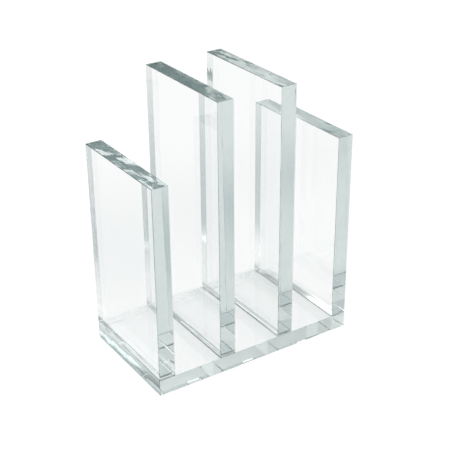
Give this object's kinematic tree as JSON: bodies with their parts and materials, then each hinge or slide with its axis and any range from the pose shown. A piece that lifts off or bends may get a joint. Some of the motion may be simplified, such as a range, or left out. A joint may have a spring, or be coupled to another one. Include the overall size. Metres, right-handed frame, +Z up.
{
  "type": "magazine file holder",
  "caption": "Free-standing desktop file holder of thick clear acrylic: upright dividers, tall inside and short outside, cemented on a flat base.",
  "frame": {"origin": "middle of the base plate's underside, the face that the holder stands on", "axes": "+Z up; +X along the row of slots, from the left outer divider to the right outer divider; -Y towards the front, the end that the slots open to"},
  "size_m": [0.195, 0.11, 0.246],
  "materials": {
    "clear_acrylic": "polished",
    "clear_cement": "gloss"
  },
  "bodies": {
    "root": {"base_plate": "clear_acrylic", "left_outer_divider": "clear_acrylic", "left_outer_cement_bond": "clear_cement", "left_inner_divider": "clear_acrylic", "left_inner_cement_bond": "clear_cement", "right_inner_divider": "clear_acrylic", "right_inner_cement_bond": "clear_cement", "right_outer_divider": "clear_acrylic", "right_outer_cement_bond": "clear_cement"}
  },
  "joints": []
}
